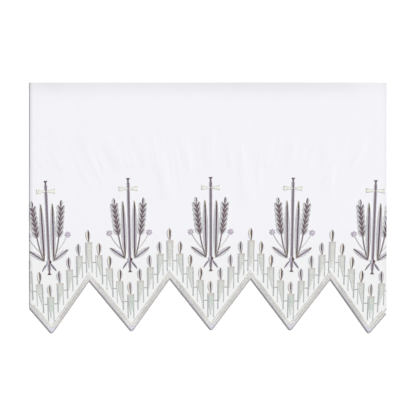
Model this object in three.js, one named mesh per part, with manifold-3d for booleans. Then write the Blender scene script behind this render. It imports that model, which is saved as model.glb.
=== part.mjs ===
// A cut length of embroidered altar cloth, lying flat with the points of its hem towards -Y.
// Millimetres, +Z up. The origin lies on the surface under the cloth, at the middle of its outline.

import * as THREE from "three";
import { mergeVertices } from "three/addons/utils/BufferGeometryUtils.js";
import Module from "manifold-3d";

const wasm = await Module();
wasm.setup();

// The cloth
const CLOTH_WIDTH = 484;
const CLOTH_DEPTH = 335.6; // from the line of the hem's points up to the cut top edge
const CLOTH_THICKNESS = 1;
const REPEAT = 107.7; // one point of the hem, with one ornament and eight candles
const POINT_DROP = 70; // from a notch of the hem down to a point
const POINT_ROUNDING = 2.4;
const REPEATS_EACH_SIDE = 2;
const MIDDLE_X = 4.3; // the middle repeat's axis, off the middle of the cut length
const BOW_RADIUS = 5000; // the stitching draws the border in, so the length lies on a slight arc
const BORDER_TILT = 0.002; // the border's rise for each unit to the right

// How far each corner of the hem lies from its even place, from the notch left of the cloth to the one right of it
const HEM_PULL = [
  { right: 0, up: -0.8 },
  { right: 0.3, up: -0.6 },
  { right: -0.5, up: -0.3 },
  { right: 1.2, up: -1.4 },
  { right: -0.4, up: 0 },
  { right: 1.3, up: -1.2 },
  { right: 0.1, up: -0.3 },
  { right: 0.8, up: -0.6 },
  { right: -1, up: 1 },
  { right: -0.3, up: -1.4 },
  { right: 0, up: -2 },
];

// The fit of the pieces
const GAP = 0.3; // between pieces that lie on each other
const SMALLEST_EDGE = 0.02; // what joining leaves below this is smoothed away

// The satin-stitched edge
const EDGE_WIDTH = 7.1;
const EDGE_THICKNESS = 0.7;
const RIM_WIDTH = 1; // the part of the stitching that wraps down over the cloth's edge

// The embroidery
const STITCH_HEIGHT = 0.5;
const LEAF_BELLY = 0.45; // the share of a leaf's length below its widest part
const LEAF_STEPS = 4; // on each side of a leaf
const CANDLES_IN_REPEAT = 8;
const CANDLE_PITCH = REPEAT / CANDLES_IN_REPEAT;
const CANDLE_WIDTH = 9.6;
const CANDLE_RISE = 18; // from one candle's top to the next one's
const LOWEST_CANDLE_TOP = 50.2;
const CANDLE_LEG = 1.6;
const CANDLE_BLOCK = 13; // the closed upper part of a candle
const CANDLE_TONGUE = 28;
const LONG_LEG = 39.5; // from a candle's top down to the foot of the leg towards the nearest point of the hem
const SHORT_LEG = 29.9;
const NOTCH_LEG = 41;
const POINT_LEG = 32;
const WICK_WIDTH = 1.2;
const WICK_HEIGHT = 1.2;
const FLAME_WIDTH = 5;
const FLAME_HEIGHT = 14.5;
const FLAME_BELLY = 0.4; // the share of the flame's height below its widest part
const FLAME_STEPS = 4;
const LINK_DROP = 9.3; // from a candle's top down to the bar that links it to the next one up
const LINK_THICKNESS = 1.2;

// The ornament, from the middle of its knot
const KNOT_UP = 97; // above the line of the hem's points
const KNOT_REACH = 3.8;
const STEM_TOP = 110;
const STEM_FOOT = -17;
const STEM_WIDTH = 2.2;
const SERIF_WIDTH = 5.6;
const SERIF_HEIGHT = 2.2;
const ARM_UP = 96;
const ARM_SPAN = 25;
const ARM_WAIST = 2;
const ARM_FLARE = 6;
const STRAW_ROOT = new THREE.Vector2(1.5, -1);
const STRAW_LENGTH = 15;
const STRAW_WIDTH = 3;
const STRAW_ANGLE = 0.62;
const STALK_WIDTH = 1.5;
const STALK = [new THREE.Vector2(6.4, 1.5), new THREE.Vector2(15, 20), new THREE.Vector2(19.5, 74)];
const STALK_STEPS = 3; // in the bare part of the stalk
const EAR_START = 32; // along the stalk
const KERNEL_PAIRS = 6;
const KERNEL_PITCH = 6.8;
const KERNEL_LENGTH = 10.5;
const KERNEL_BELLY = 4.2; // from a kernel's base to its widest part
const KERNEL_BULGE = 3.9; // from the stalk out to its widest part
const KERNEL_SPREAD = 5.4; // from the stalk out to its tip
const REED_LENGTH = 78;
const REED_WIDTH = 4;
const REED_LEAN = 0.02;
const BLADE_LENGTH = 25;
const BLADE_WIDTH = 5;
const BLADE_LEAN = 0.95;
const SPRIG_WIDTH = 1.3;
const SPRIG = [new THREE.Vector2(11.5, 14), new THREE.Vector2(20, 22), new THREE.Vector2(27, 36)];
const SPRIG_STEPS = 4;
const ROSETTE_RADIUS = 4.6;
const ROSETTE_WAIST = 2.3;
const ROSETTE_PETALS = 7;

// The shallow folds that fan out above the embroidery, each from its head down to its foot,
// as places from the middle repeat's axis and the line of the hem's points
const FOLDS = [
  { headX: -220, headY: 262, footX: -176, footY: 166, halfWidth: 14, height: 0.4 },
  { headX: -176, headY: 280, footX: -158, footY: 205, halfWidth: 13, height: 0.3 },
  { headX: -150, headY: 268, footX: -112, footY: 214, halfWidth: 13, height: 0.35 },
  { headX: -106, headY: 276, footX: -84, footY: 214, halfWidth: 12, height: 0.3 },
  { headX: -84, headY: 262, footX: -52, footY: 160, halfWidth: 14, height: 0.45 },
  { headX: -40, headY: 274, footX: -26, footY: 214, halfWidth: 12, height: 0.3 },
  { headX: -4, headY: 282, footX: 2, footY: 214, halfWidth: 13, height: 0.35 },
  { headX: 34, headY: 270, footX: 54, footY: 158, halfWidth: 14, height: 0.45 },
  { headX: 76, headY: 276, footX: 76, footY: 212, halfWidth: 12, height: 0.25 },
  { headX: 112, headY: 268, footX: 108, footY: 214, halfWidth: 13, height: 0.35 },
  { headX: 158, headY: 272, footX: 160, footY: 162, halfWidth: 14, height: 0.4 },
  { headX: 206, headY: 280, footX: 196, footY: 214, halfWidth: 13, height: 0.3 },
];
const ORNAMENT_HALF_WIDTH = 33; // the stitching holds the cloth flat this far from an ornament's axis
const ORNAMENT_TOP = 212;
const HEAD_FADE = 1 / 3; // the share of a fold's run over which it rises from its head
const FOOT_FADE = 1 / 4; // and over which it falls to its foot
const FLAT_MARGIN = 9; // over which the cloth comes down to lie flat at the stitching
const TOP_CURL_HEIGHT = 2.4; // the cut top edge lifts a little
const TOP_CURL_DEPTH = 24;
const TOP_CURL_SWAY = 0.7;
const TOP_CURL_WAVE = 62;

// How finely the sheet is divided
const PARTS_OF_SLOPE = 7;
const SHEET_ROWS = 16;

const HALF_REPEAT = REPEAT / 2;
const SLOPE = POINT_DROP / HALF_REPEAT;
const STEEPNESS = Math.hypot(1, SLOPE); // the upward distance for each unit square to the hem's sloping edge
const STITCH_Z = CLOTH_THICKNESS + GAP;
const LEFT = -CLOTH_WIDTH / 2;
const RIGHT = CLOTH_WIDTH / 2;

// The bow, the tilt and its own pull lower the point furthest left, and the outline is centred on the origin.
const OUTER_POINT = REPEATS_EACH_SIDE * REPEAT;
const BOW_DEPTH = BOW_RADIUS * (1 - Math.cos(OUTER_POINT / BOW_RADIUS));
const BOW_DROP = BOW_DEPTH + BORDER_TILT * OUTER_POINT - HEM_PULL[1].up;
const POINTS_Y = (BOW_DROP - (SLOPE * POINT_ROUNDING) / 2 - CLOTH_DEPTH) / 2;
const TOP_Y = POINTS_Y + CLOTH_DEPTH;

const THREADS = {
  ground: new THREE.MeshStandardMaterial({ color: 0xf3f4f9, roughness: 0.85, metalness: 0 }),
  edge: new THREE.MeshStandardMaterial({ color: 0xcfcbc8, roughness: 0.55, metalness: 0 }),
  candle: new THREE.MeshStandardMaterial({ color: 0xd9ddd2, roughness: 0.5, metalness: 0 }),
  figure: new THREE.MeshStandardMaterial({ color: 0x7d6d70, roughness: 0.5, metalness: 0 }),
};

// A place on the border, from its distance across from the middle repeat's axis and up from the hem's points
function onBorder(across, up) {
  const turn = across / BOW_RADIUS;
  const reach = BOW_RADIUS + up;
  return new THREE.Vector2(
    MIDDLE_X + reach * Math.sin(turn),
    POINTS_Y + reach * Math.cos(turn) - BOW_RADIUS + BORDER_TILT * across,
  );
}

function smooth(share) {
  const t = THREE.MathUtils.clamp(share, 0, 1);
  return t * t * (3 - 2 * t);
}

// The corners of the hem's zigzag from left to right, points and notches in turn
function hemCorners() {
  const corners = [];
  const last = 2 * REPEATS_EACH_SIDE + 1;
  for (let i = -last; i <= last; i += 1) {
    const isPoint = i % 2 === 0;
    const pull = HEM_PULL[i + last];
    const place = onBorder(i * HALF_REPEAT + pull.right, (isPoint ? 0 : POINT_DROP) + pull.up);
    corners.push({ x: place.x, y: place.y, isPoint });
  }
  return corners;
}
const HEM = hemCorners();

// The corners on either side of x
function flankAt(x) {
  const next = HEM.findIndex((corner, i) => i > 0 && (x <= corner.x || i === HEM.length - 1));
  return [HEM[next - 1], HEM[next]];
}

// The height of the hem's zigzag at x, with sharp corners
function sharpLine(x) {
  const [a, b] = flankAt(x);
  return THREE.MathUtils.mapLinear(x, a.x, b.x, a.y, b.y);
}

// The height of the hem's outer edge at x, with its points rounded off
function hemLine(x) {
  const point = flankAt(x).find((corner) => corner.isPoint);
  const inside = Math.max(0, POINT_ROUNDING - Math.abs(x - point.x));
  return sharpLine(x) + (SLOPE * inside * inside) / (2 * POINT_ROUNDING);
}

// The places across the cloth where its hem is worked out, with so many parts to each slope
function stations(parts) {
  const xs = [LEFT, RIGHT];
  HEM.forEach((corner, i) => {
    if (corner.isPoint) xs.push(corner.x - POINT_ROUNDING, corner.x + POINT_ROUNDING);
    xs.push(corner.x);
    const next = HEM[i + 1];
    for (let k = 1; next && k < parts; k += 1) {
      xs.push(THREE.MathUtils.lerp(corner.x, next.x, k / parts));
    }
  });
  return xs.filter((x) => x >= LEFT && x <= RIGHT).sort((a, b) => a - b);
}

// The height of a fold: a soft ridge that fades towards its head, its foot and its sides
function foldHeight(fold, x, y) {
  const run = new THREE.Vector2(fold.footX - fold.headX, fold.footY - fold.headY);
  const from = new THREE.Vector2(x - MIDDLE_X - fold.headX, y - POINTS_Y - fold.headY);
  const along = from.dot(run) / run.lengthSq();
  const across = from.cross(run) / run.length() / fold.halfWidth;
  if (along <= 0 || along >= 1 || Math.abs(across) >= 1) return 0;
  const ends = smooth(along / HEAD_FADE) * smooth((1 - along) / FOOT_FADE);
  return fold.height * (1 - across * across) ** 2 * ends;
}

// How free the cloth is to lift: 0 under the stitching, 1 away from it
function freedom(x, y) {
  const up = y - POINTS_Y;
  const across = x - MIDDLE_X;
  const nearest = REPEAT * Math.round(across / REPEAT);
  const beside = (Math.abs(across - nearest) - ORNAMENT_HALF_WIDTH) / FLAT_MARGIN;
  const above = (up - ORNAMENT_TOP) / FLAT_MARGIN;
  return Math.max(smooth(beside), smooth(above));
}

// How far the cloth's underside lies above the surface
function lift(x, y) {
  const folds = FOLDS.reduce((sum, fold) => sum + foldHeight(fold, x, y), 0);
  const curl = smooth((y - TOP_Y + TOP_CURL_DEPTH) / TOP_CURL_DEPTH);
  const curlHeight = TOP_CURL_HEIGHT + TOP_CURL_SWAY * Math.sin(x / TOP_CURL_WAVE);
  return folds * freedom(x, y) + curl * curlHeight;
}

// The sheet is a divided box, each of whose points is moved to its place on the cloth.
function groundCloth() {
  const across = stations(PARTS_OF_SLOPE);
  const geometry = new THREE.BoxGeometry(1, 1, 1, across.length - 1, SHEET_ROWS, 1);
  const points = geometry.getAttribute("position");
  const setback = (RIM_WIDTH + GAP) * STEEPNESS;
  for (let i = 0; i < points.count; i += 1) {
    const x = across[Math.round((points.getX(i) + 0.5) * (across.length - 1))];
    const y = THREE.MathUtils.lerp(hemLine(x) + setback, TOP_Y, points.getY(i) + 0.5);
    const z = lift(x, y) + (points.getZ(i) + 0.5) * CLOTH_THICKNESS;
    points.setXYZ(i, x, y, z);
  }
  return new THREE.Mesh(geometry, THREADS.ground);
}

// The region between the hem's outer edge and its zigzag moved inwards by a width
function hemStrip(width, height) {
  const outer = stations(1).map((x) => new THREE.Vector2(x, hemLine(x)));
  const inner = outer.map(({ x }) => new THREE.Vector2(x, sharpLine(x) + width * STEEPNESS)).reverse();
  return new THREE.ExtrudeGeometry(new THREE.Shape([...outer, ...inner]), {
    depth: height,
    bevelEnabled: false,
  });
}

// The satin-stitched edge: a flat strip on the cloth and a rim down to the surface
function stitchedEdge() {
  const strip = hemStrip(EDGE_WIDTH, EDGE_THICKNESS).translate(0, 0, STITCH_Z);
  const rim = hemStrip(RIM_WIDTH, STITCH_Z + EDGE_THICKNESS);
  return new THREE.Mesh(joined([strip, rim]), THREADS.edge);
}

function solidOf(geometry) {
  const bare = geometry.clone();
  bare.deleteAttribute("normal");
  bare.deleteAttribute("uv");
  const merged = mergeVertices(bare, 1e-3);
  return new wasm.Manifold(
    new wasm.Mesh({
      numProp: 3,
      vertProperties: merged.getAttribute("position").array,
      triVerts: new Uint32Array(merged.index.array),
    }),
  );
}

function geometryOf(solid) {
  const mesh = solid.getMesh();
  const geometry = new THREE.BufferGeometry();
  geometry.setAttribute("position", new THREE.BufferAttribute(mesh.vertProperties, 3));
  geometry.setIndex(new THREE.BufferAttribute(mesh.triVerts, 1));
  geometry.computeVertexNormals();
  return geometry;
}

function joined(geometries) {
  const whole = geometries.map(solidOf).reduce((sum, solid) => sum.add(solid));
  return geometryOf(whole.simplify(SMALLEST_EDGE));
}

function stitched(shape, curveSegments = 1) {
  return new THREE.ExtrudeGeometry(shape, {
    depth: STITCH_HEIGHT,
    bevelEnabled: false,
    curveSegments,
  });
}

// A leaf that starts at the origin, grows along +Y, and is pointed at both ends
function leafShape(length, width) {
  const shape = new THREE.Shape();
  shape.moveTo(0, 0);
  shape.quadraticCurveTo(width, length * LEAF_BELLY, 0, length);
  shape.quadraticCurveTo(-width, length * LEAF_BELLY, 0, 0);
  return shape;
}

function leaf(length, width, root, lean) {
  return stitched(leafShape(length, width), LEAF_STEPS).rotateZ(-lean).translate(root.x, root.y, 0);
}

// A line of stitches of one width along a curve
function line(curve, width, steps) {
  const left = [];
  const right = [];
  for (let i = 0; i <= steps; i += 1) {
    const at = curve.getPointAt(i / steps);
    const along = curve.getTangentAt(i / steps);
    const side = new THREE.Vector2(-along.y, along.x).multiplyScalar(width / 2);
    left.push(at.clone().add(side));
    right.unshift(at.clone().sub(side));
  }
  return stitched(new THREE.Shape([...left, ...right]));
}

// The height of a candle's top above the hem's points, steps away from the nearest of them
function candleTop(steps) {
  return LOWEST_CANDLE_TOP + CANDLE_RISE * Math.abs(steps);
}

// The foot of the leg on one side of a candle, below its top
function legFoot(steps, side) {
  if (steps === 0) return -POINT_LEG;
  if (Math.abs(steps) === CANDLES_IN_REPEAT / 2) return -NOTCH_LEG;
  return steps * side < 0 ? -LONG_LEG : -SHORT_LEG;
}

// A bar links each candle to the next one up, and the one in a notch of the hem has none of its own.
function hasLink(steps, side) {
  const atNotch = Math.abs(steps) === CANDLES_IN_REPEAT / 2;
  return !atNotch && steps * side >= 0;
}

// The side of a candle on which its tongue runs down: towards the nearest point of the hem, or 0 for the middle
function tongueSide(steps) {
  const isMiddle = steps === 0 || Math.abs(steps) === CANDLES_IN_REPEAT / 2;
  return isMiddle ? 0 : -Math.sign(steps);
}

// One side of a candle's outline, from the tip of its flame round to the inside of its leg
function candleSide(steps, side) {
  const half = CANDLE_WIDTH / 2;
  const wick = WICK_WIDTH / 2;
  const reach = CANDLE_PITCH - half - GAP;
  const foot = legFoot(steps, side);
  const flame = new THREE.QuadraticBezierCurve(
    new THREE.Vector2(0, WICK_HEIGHT + FLAME_HEIGHT),
    new THREE.Vector2(FLAME_WIDTH, WICK_HEIGHT + FLAME_HEIGHT * FLAME_BELLY),
    new THREE.Vector2(wick, WICK_HEIGHT),
  );
  const link = [
    new THREE.Vector2(half, -LINK_DROP),
    new THREE.Vector2(reach, -LINK_DROP),
    new THREE.Vector2(reach, -LINK_DROP - LINK_THICKNESS),
    new THREE.Vector2(half, -LINK_DROP - LINK_THICKNESS),
  ];
  const outline = [
    ...flame.getPoints(FLAME_STEPS),
    new THREE.Vector2(wick, 0),
    new THREE.Vector2(half, 0),
    ...(hasLink(steps, side) ? link : []),
    new THREE.Vector2(half, foot),
    new THREE.Vector2(half - CANDLE_LEG, foot),
  ];
  if (tongueSide(steps) !== side) outline.push(new THREE.Vector2(half - CANDLE_LEG, -CANDLE_BLOCK));
  return outline.map((p) => new THREE.Vector2(side * p.x, p.y));
}

// A candle from the middle of its top: a flame, a closed block, two unequal legs and a tongue between them.
// steps counts the candles from the nearest point of the hem, below 0 to its left.
function candleShape(steps) {
  const tongueX = tongueSide(steps) * (CANDLE_WIDTH / 2 - CANDLE_LEG);
  const tongue = new THREE.Vector2(tongueX, -CANDLE_TONGUE);
  const right = candleSide(steps, 1);
  const left = candleSide(steps, -1).slice(1).reverse();
  return new THREE.Shape([...right, tongue, ...left]);
}

// A tall cross with flared arms on a knot, with two straws below it
function crossGeometry() {
  const stem = new THREE.Shape();
  const half = STEM_WIDTH / 2;
  const serif = SERIF_WIDTH / 2;
  const outline = [
    [serif, STEM_TOP],
    [half, STEM_TOP - SERIF_HEIGHT],
    [half, STEM_FOOT + SERIF_HEIGHT],
    [serif, STEM_FOOT],
  ];
  const mirrored = outline.map(([x, y]) => [-x, y]).reverse();
  stem.setFromPoints([...outline, ...mirrored].map(([x, y]) => new THREE.Vector2(x, y)));
  const arms = new THREE.Shape([
    new THREE.Vector2(-ARM_SPAN / 2, ARM_UP - ARM_FLARE / 2),
    new THREE.Vector2(0, ARM_UP - ARM_WAIST / 2),
    new THREE.Vector2(ARM_SPAN / 2, ARM_UP - ARM_FLARE / 2),
    new THREE.Vector2(ARM_SPAN / 2, ARM_UP + ARM_FLARE / 2),
    new THREE.Vector2(0, ARM_UP + ARM_WAIST / 2),
    new THREE.Vector2(-ARM_SPAN / 2, ARM_UP + ARM_FLARE / 2),
  ]);
  const knot = new THREE.Shape([
    new THREE.Vector2(0, -KNOT_REACH),
    new THREE.Vector2(KNOT_REACH, 0),
    new THREE.Vector2(0, KNOT_REACH),
    new THREE.Vector2(-KNOT_REACH, 0),
  ]);
  const straws = [-1, 1].map((side) => {
    const root = new THREE.Vector2(side * STRAW_ROOT.x, STRAW_ROOT.y);
    return leaf(STRAW_LENGTH, STRAW_WIDTH, root, Math.PI - side * STRAW_ANGLE);
  });
  return joined([stitched(stem), stitched(arms), stitched(knot), ...straws]);
}

function rosetteShape() {
  const petals = [];
  for (let i = 0; i < 2 * ROSETTE_PETALS; i += 1) {
    const angle = (Math.PI * i) / ROSETTE_PETALS;
    const radius = i % 2 === 0 ? ROSETTE_RADIUS : ROSETTE_WAIST;
    petals.push(new THREE.Vector2(Math.sin(angle), Math.cos(angle)).multiplyScalar(radius));
  }
  return new THREE.Shape(petals);
}

// The same curve to the right of a cross, or mirrored to its left
function curveBeside(points, side) {
  return new THREE.QuadraticBezierCurve(...points.map((p) => new THREE.Vector2(side * p.x, p.y)));
}

// A place at a distance along a curve and beside it, also past the curve's end
function besideCurve(curve, distance, offset) {
  const share = Math.min(distance / curve.getLength(), 1);
  const past = Math.max(distance - curve.getLength(), 0);
  const along = curve.getTangentAt(share);
  const across = new THREE.Vector2(along.y, -along.x);
  return curve.getPointAt(share).addScaledVector(along, past).addScaledVector(across, offset);
}

// A stalk with its ear, whose kernels stand out on both sides like the teeth of a saw
function earShape(curve) {
  const rows = [];
  for (let i = 0; i <= STALK_STEPS; i += 1) {
    rows.push([(EAR_START * i) / STALK_STEPS, STALK_WIDTH / 2]);
  }
  for (let i = 0; i < KERNEL_PAIRS; i += 1) {
    const base = EAR_START + KERNEL_PITCH * i;
    rows.push([base + KERNEL_BELLY, KERNEL_BULGE]);
    rows.push([base + KERNEL_LENGTH, KERNEL_SPREAD]);
    rows.push([base + KERNEL_PITCH + STALK_WIDTH, STALK_WIDTH]);
  }
  const right = rows.map(([distance, offset]) => besideCurve(curve, distance, offset));
  const left = rows.map(([distance, offset]) => besideCurve(curve, distance, -offset)).reverse();
  const tip = besideCurve(curve, EAR_START + KERNEL_PITCH * KERNEL_PAIRS + KERNEL_LENGTH, 0);
  return new THREE.Shape([...right, tip, ...left]);
}

// The wheat beside a cross: a stalk with its ear, an upright reed, a low blade and a rosette on a sprig
function wheatGeometry(side) {
  const stalk = curveBeside(STALK, side);
  const sprig = curveBeside(SPRIG, side);
  const root = stalk.getPoint(0);
  const flower = sprig.getPoint(1);
  return joined([
    stitched(earShape(stalk)),
    leaf(REED_LENGTH, REED_WIDTH, root, side * REED_LEAN),
    leaf(BLADE_LENGTH, BLADE_WIDTH, root, side * BLADE_LEAN),
    line(sprig, SPRIG_WIDTH, SPRIG_STEPS),
    stitched(rosetteShape()).translate(flower.x, flower.y, 0),
  ]);
}

// What the cut sides of the cloth leave of a stitched figure, or null if they leave nothing
function cutToCloth(mesh) {
  mesh.updateMatrix();
  mesh.geometry.computeBoundingBox();
  const box = mesh.geometry.boundingBox.clone().applyMatrix4(mesh.matrix);
  if (box.min.x >= LEFT && box.max.x <= RIGHT) return mesh;
  if (box.max.x <= LEFT || box.min.x >= RIGHT) return null;
  const cloth = solidOf(new THREE.BoxGeometry(CLOTH_WIDTH, 2 * CLOTH_DEPTH, CLOTH_DEPTH));
  const left = solidOf(mesh.geometry.clone().applyMatrix4(mesh.matrix)).intersect(cloth);
  const parts = left.simplify(SMALLEST_EDGE).decompose().sort((a, b) => b.volume() - a.volume());
  return parts.length ? new THREE.Mesh(geometryOf(parts[0]), mesh.material) : null;
}

// Adds a stitched figure at a place on the border, turned with the border and trimmed at the cut sides.
function addFigure(group, name, geometry, material, across, up) {
  const mesh = new THREE.Mesh(geometry, material);
  const place = onBorder(across, up);
  mesh.position.set(place.x, place.y, STITCH_Z);
  mesh.rotation.z = BORDER_TILT - across / BOW_RADIUS;
  const figure = cutToCloth(mesh);
  if (!figure) return false;
  figure.name = name;
  group.add(figure);
  return true;
}

function addCandles(group) {
  const reach = Math.ceil(CLOTH_WIDTH / 2 / CANDLE_PITCH) + 1;
  let made = 0;
  for (let n = -reach; n <= reach; n += 1) {
    const across = n * CANDLE_PITCH;
    const steps = n - CANDLES_IN_REPEAT * Math.round(across / REPEAT);
    const name = `candle_${String(made + 1).padStart(2, "0")}`;
    const geometry = stitched(candleShape(steps));
    if (addFigure(group, name, geometry, THREADS.candle, across, candleTop(steps))) made += 1;
  }
}

function addOrnaments(group) {
  const cross = crossGeometry();
  const right = wheatGeometry(1);
  const left = wheatGeometry(-1);
  for (let i = -REPEATS_EACH_SIDE; i <= REPEATS_EACH_SIDE; i += 1) {
    const number = i + REPEATS_EACH_SIDE + 1;
    const across = i * REPEAT;
    addFigure(group, `cross_${number}`, cross, THREADS.figure, across, KNOT_UP);
    addFigure(group, `wheat_right_${number}`, right, THREADS.figure, across, KNOT_UP);
    addFigure(group, `wheat_left_${number}`, left, THREADS.figure, across, KNOT_UP);
  }
}

function altarCloth() {
  const group = new THREE.Group();
  const cloth = groundCloth();
  cloth.name = "ground_cloth";
  const edge = stitchedEdge();
  edge.name = "stitched_edge";
  group.add(cloth, edge);
  addCandles(group);
  addOrnaments(group);
  return group;
}

export default altarCloth();
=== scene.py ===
"""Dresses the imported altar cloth: the cloth, its satin-stitched edge and its embroidery, thread by thread.

Tables and working code are in millimetres, and settings and finished meshes in metres.
A place on the border is given across from the middle repeat's axis and up from the line of the hem's points.
"""

import math

import bpy
import numpy as np
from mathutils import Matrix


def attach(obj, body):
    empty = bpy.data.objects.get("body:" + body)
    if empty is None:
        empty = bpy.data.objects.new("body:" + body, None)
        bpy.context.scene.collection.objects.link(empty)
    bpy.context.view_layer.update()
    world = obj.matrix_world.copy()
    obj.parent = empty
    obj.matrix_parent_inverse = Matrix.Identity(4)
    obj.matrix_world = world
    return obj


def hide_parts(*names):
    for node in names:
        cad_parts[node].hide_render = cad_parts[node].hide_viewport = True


bl_info = {
    "name": "Embroidered Altar Cloth",
    "version": (1, 0, 0),
    "blender": (4, 5, 0),
    "location": "View3D > Sidebar > Altar Cloth",
    "description": "Makes an altar cloth with a satin-stitched zigzag edge and an embroidered border",
    "category": "Object",
}

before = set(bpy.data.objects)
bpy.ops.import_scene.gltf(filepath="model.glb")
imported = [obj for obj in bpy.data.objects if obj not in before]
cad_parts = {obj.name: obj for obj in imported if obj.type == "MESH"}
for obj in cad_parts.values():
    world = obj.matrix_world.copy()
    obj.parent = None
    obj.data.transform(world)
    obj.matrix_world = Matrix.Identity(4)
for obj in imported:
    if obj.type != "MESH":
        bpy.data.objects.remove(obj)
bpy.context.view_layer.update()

MM = 0.001

# The border, as it is set out on the cloth
LEFT = -241.5
RIGHT = 242.9
CLOTH_DEPTH = 335.6
REPEAT = 107.7
HALF_REPEAT = REPEAT / 2
REPEATS_EACH_SIDE = 2
POINT_DROP = 70
POINT_ROUNDING = 2.4
MIDDLE_X = 4.3
BOW_RADIUS = 5000
BORDER_TILT = 0.002
SLOPE = POINT_DROP / HALF_REPEAT
STEEPNESS = math.hypot(1, SLOPE)

# How far the hem's corners, from the notch left of the cloth on, lie right of their even places and above
HEM_PULL = (
    (0.0, -0.8),
    (0.3, -0.6),
    (-0.5, -0.3),
    (1.2, -1.4),
    (-0.4, 0.0),
    (1.3, -1.2),
    (0.1, -0.3),
    (0.8, -0.6),
    (-1.0, 1.0),
    (-0.3, -1.4),
    (0.0, -2.0),
)

# How far they all do besides
HEM_SHIFT = (-0.4, -0.5)
LEFT_POINT_PULL = HEM_PULL[1][1]
OUTER_POINT = REPEATS_EACH_SIDE * REPEAT
BOW_DEPTH = BOW_RADIUS * (1 - math.cos(OUTER_POINT / BOW_RADIUS))
BOW_DROP = BOW_DEPTH + BORDER_TILT * OUTER_POINT - LEFT_POINT_PULL
POINTS_Y = (BOW_DROP - SLOPE * POINT_ROUNDING / 2 - CLOTH_DEPTH) / 2
TOP_Y = POINTS_Y + CLOTH_DEPTH

# The cloth
HEM_SETBACK = 1.3
PARTS_OF_SLOPE = 34
SHEET_ROWS = 130
TOP_CURL_DEPTH = 26
TOP_CURL_WAVE = 62
TOP_CURL_SWAY = 0.3
TOP_CURL_TAPER = 50
ORNAMENT_HALF_WIDTH = 33
ORNAMENT_TOP = 212
FLAT_MARGIN = 9
WORKED_GROUND_TOP = (60, 150)
CLOTH_GAIN = 0.92

# Where painted shade darkens the cloth towards its cut sides, most on the left, away from the key light,
# with a slow painted darkening towards the left: the axis, the side, how far inwards, the darkest tone
PAINTED_CUT_SIDE_SHADE = (
    ("X", LEFT, 4.6, 0.8),
    ("X", RIGHT, -6, 0.935),
    ("X", LEFT, 460, 0.99),
    ("Y", TOP_Y, -18, 0.935),
)

# The larger folds: across and up at the head, across and up at the foot, half width, height
FOLDS = (
    (-220, 262, -176, 166, 14, 0.40),
    (-176, 280, -158, 205, 13, 0.30),
    (-150, 268, -112, 214, 13, 0.35),
    (-106, 276, -84, 214, 12, 0.30),
    (-84, 262, -52, 160, 14, 0.45),
    (-40, 274, -26, 214, 12, 0.30),
    (-4, 282, 2, 214, 13, 0.35),
    (34, 270, 54, 158, 14, 0.45),
    (76, 276, 76, 212, 12, 0.25),
    (112, 268, 108, 214, 13, 0.35),
    (158, 272, 160, 162, 14, 0.40),
    (206, 280, 196, 214, 13, 0.30),
)

# The wrinkles that the stitching draws into the cloth above and between the ornaments, in the same columns
WRINKLES = (
    (-221, 251, -178, 176, 5, 0.13),
    (-191, 253, -153, 172, 5, 0.14),
    (-174, 253, -144, 192, 4, 0.10),
    (-160, 253, -133, 186, 5, 0.13),
    (-144, 253, -123, 210, 4, 0.10),
    (-123, 271, -96, 206, 5, 0.14),
    (-92, 240, -83, 186, 4, 0.09),
    (-72, 258, -58, 183, 5, 0.13),
    (-51, 260, -38, 183, 4, 0.11),
    (-38, 260, -23, 186, 6, 0.20),
    (11, 264, 11, 224, 4, 0.10),
    (22, 267, 33, 179, 6, 0.20),
    (39, 271, 44, 220, 4, 0.09),
    (65, 251, 67, 179, 6, 0.19),
    (75, 247, 76, 183, 4, 0.10),
    (94, 220, 90, 183, 4, 0.12),
    (113, 264, 111, 224, 4, 0.09),
    (125, 253, 124, 224, 4, 0.11),
    (144, 226, 145, 183, 5, 0.12),
    (166, 230, 162, 183, 4, 0.10),
    (177, 210, 174, 183, 4, 0.09),
    (189, 224, 179, 192, 5, 0.12),
    (223, 224, 196, 183, 6, 0.19),
)

# The finest wrinkles, with the least and the greatest of what differs between them
FINE_WRINKLE_PITCH = 5.2
FINE_WRINKLE_HEAD = (235, 305)
FINE_WRINKLE_FOOT = (175, 215)
FINE_WRINKLE_HEIGHT = (0.015, 0.055)
FINE_WRINKLE_HALF = 2.5
FINE_WRINKLE_SLANT = 0.0024
FINE_WRINKLE_STRAY = 2.5
HEAD_FADE = 1 / 3
FOOT_FADE = 1 / 4

# The candles, each from the middle of its top
CANDLES_IN_REPEAT = 8
CANDLE_PITCH = REPEAT / CANDLES_IN_REPEAT
CANDLE_HALF = 4.55
CANDLE_RISE = 18
LOWEST_CANDLE_TOP = 50
LEG_INSIDE = 3.1
# Painted light on the left legs: their tone is raised to make up for the shade of the fill beside them
LEFT_LEG_PAINTED_LIGHT = 1.09
PALE_LEG_BULGE = 0.4
LEG_TURN = 5
CANDLE_BLOCK = 12
EVEN_BLOCK = 17
CANDLE_TONGUE = 29
NOTCH_TONGUE = 35
TONGUE_RAG = 0.2
CANDLE_CAP = 5
CAP_BLEND = 3.4
FADE_LENGTH = 20
WICK_HEIGHT = 1.8
FLAME_STITCH_RISE = 0.4

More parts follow.
